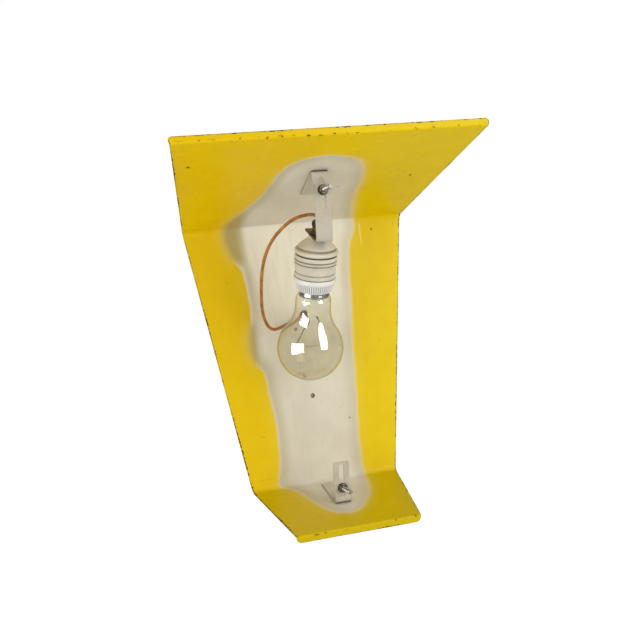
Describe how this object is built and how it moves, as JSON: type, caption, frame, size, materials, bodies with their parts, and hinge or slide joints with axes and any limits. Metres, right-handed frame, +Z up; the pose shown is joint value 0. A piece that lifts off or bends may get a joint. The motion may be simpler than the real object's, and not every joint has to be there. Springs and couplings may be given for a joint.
{
  "type": "wall lamp",
  "caption": "Open wall lamp of folded sheet steel with flared top and bottom flanges, a bulb hung on a slotted strap, and two studded brackets.",
  "frame": {"origin": "centre of the upright panel's rear face, halfway between the two folds", "axes": "+Z up, +Y out of the rear face, +X to the right when facing the open side"},
  "size_m": [0.2628, 0.1622, 0.3292],
  "materials": {
    "yellow_enamel": "glossy enamel, worn at the edges, cream overspray in the middle",
    "cream_paint": "satin paint",
    "zinc_steel": "zinc plated",
    "dark_steel": "blackened",
    "brass": "satin",
    "black_plastic": "satin",
    "dark_rubber": "matt",
    "white_porcelain": "glazed",
    "cap_metal": "bright",
    "black_glass": "glossy",
    "clear_glass": "clear",
    "wire_metal": "dull",
    "copper_wire": "bright",
    "cable_sheath": "glossy, translucent copper-brown"
  },
  "bodies": {
    "root": {"folded_body": "yellow_enamel", "top_bracket": "cream_paint", "bottom_bracket": "cream_paint", "cable_grommet": "dark_rubber"},
    "top_stud": {"top_screw": "zinc_steel"},
    "arm_washer": {"friction_washer": "dark_steel"},
    "lamp_arm": {"lamp_strap": "cream_paint", "nipple": "brass", "nipple_nut": "dark_steel", "cord_grip": "black_plastic", "holder_dome": "cream_paint", "holder_skirt": "cream_paint", "holder_insert": "white_porcelain", "screw_shell": "brass", "centre_spring": "brass", "terminal_screws": "brass", "insert_screws": "brass", "cable_cores": "copper_wire", "cable": "cable_sheath"},
    "top_lock": {"top_washer": "dark_steel"},
    "top_nut_body": {"top_nut": "zinc_steel"},
    "bottom_stud": {"bottom_screw": "zinc_steel"},
    "bottom_lock": {"bottom_washer": "dark_steel"},
    "bottom_nut_body": {"bottom_nut": "zinc_steel"},
    "ring": {"porcelain_ring": "white_porcelain"},
    "bulb_travel": {"bulb_contact": "cap_metal"},
    "bulb": {"bulb_cap": "cap_metal", "cap_insulator": "black_glass", "bulb_glass": "clear_glass", "bulb_stem": "clear_glass", "lead_wires": "wire_metal", "filament": "wire_metal"}
  },
  "joints": [
    {"name": "top_screw_slide", "type": "slide", "parent": "root", "child": "top_stud", "axis": [0, -0.0523, 0.9986], "range_m": [-0.012, 0.006], "deforming": ["cable"]},
    {"name": "arm_swing", "type": "hinge", "parent": "top_stud", "child": "arm_washer", "pos_m": [-0.0006, -0.1056, 0.1337], "axis": [0, -0.9986, -0.0523], "range_deg": [-12, 12], "deforming": ["cable"]},
    {"name": "strap_slide", "type": "slide", "parent": "arm_washer", "child": "lamp_arm", "axis": [0.0698, -0.0522, 0.9962], "range_m": [0, 0.006], "deforming": ["cable"]},
    {"name": "top_washer_travel", "type": "slide", "parent": "top_stud", "child": "top_lock", "axis": [0, -0.9986, -0.0523], "range_m": [0, 0.014]},
    {"name": "top_nut_turn", "type": "hinge", "parent": "top_lock", "child": "top_nut_body", "pos_m": [-0.0006, -0.1056, 0.1337], "axis": [0, -0.9986, -0.0523], "range_deg": [0, 7200]},
    {"name": "bottom_screw_slide", "type": "slide", "parent": "root", "child": "bottom_stud", "axis": [0, -0.0523, 0.9986], "range_m": [-0.005, 0.004]},
    {"name": "bottom_washer_travel", "type": "slide", "parent": "bottom_stud", "child": "bottom_lock", "axis": [0, -0.9986, -0.0523], "range_m": [0, 0.014]},
    {"name": "bottom_nut_turn", "type": "hinge", "parent": "bottom_lock", "child": "bottom_nut_body", "pos_m": [0.0008, -0.05179, -0.12223], "axis": [0, -0.9986, -0.0523], "range_deg": [0, 7200]},
    {"name": "ring_turn", "type": "hinge", "parent": "lamp_arm", "child": "ring", "pos_m": [-0.00305, -0.0847, 0.09976], "axis": [-0.0649, 0.4146, -0.9077], "range_deg": [0, 360]},
    {"name": "bulb_travel", "type": "slide", "parent": "lamp_arm", "child": "bulb_travel", "axis": [-0.0649, 0.4146, -0.9077], "range_m": [0, 0.0127]},
    {"name": "bulb_turn", "type": "hinge", "parent": "bulb_travel", "child": "bulb", "pos_m": [-0.00305, -0.0847, 0.09976], "axis": [-0.0649, 0.4146, -0.9077], "range_deg": [0, 1260]}
  ],
  "couplings": [
    {"joint": "bulb_travel", "follows": "bulb_turn", "m_per_rad": 0.00057757}
  ]
}
